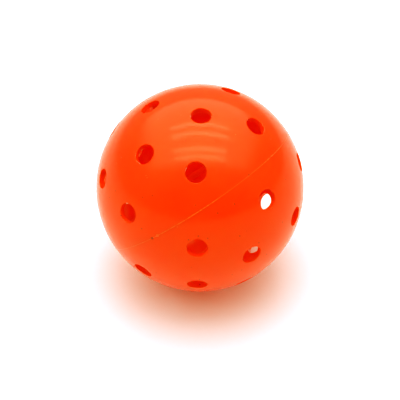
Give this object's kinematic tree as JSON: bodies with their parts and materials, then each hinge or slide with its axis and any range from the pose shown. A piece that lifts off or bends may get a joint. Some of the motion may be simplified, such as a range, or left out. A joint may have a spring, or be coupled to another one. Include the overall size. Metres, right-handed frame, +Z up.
{
  "type": "pickleball ball",
  "caption": "Hollow outdoor pickleball of hard glossy orange plastic: two perforated half shells turned rim to rim and joined by a fine welded seam.",
  "frame": {"origin": "centre of the ball", "axes": "+Z is up, with the ball lying on a level surface, and the viewer of the reference view stands on the -Y side. The moulding pole, through the middle of upper_half_shell, leans 42.0 degrees from +Z towards a heading 145.5 degrees anticlockwise from +X, seen from above. The seam plane passes through the origin, square to that pole."},
  "size_m": [0.0738, 0.074, 0.074],
  "materials": {
    "shell_plastic": "hard injection-moulded polyethylene, saturated orange, satin gloss",
    "weld_plastic": "the same polyethylene after welding, a little paler where the flash was trimmed"
  },
  "bodies": {
    "root": {"upper_half_shell": "shell_plastic", "lower_half_shell": "shell_plastic", "seam_weld": "weld_plastic"}
  },
  "joints": []
}
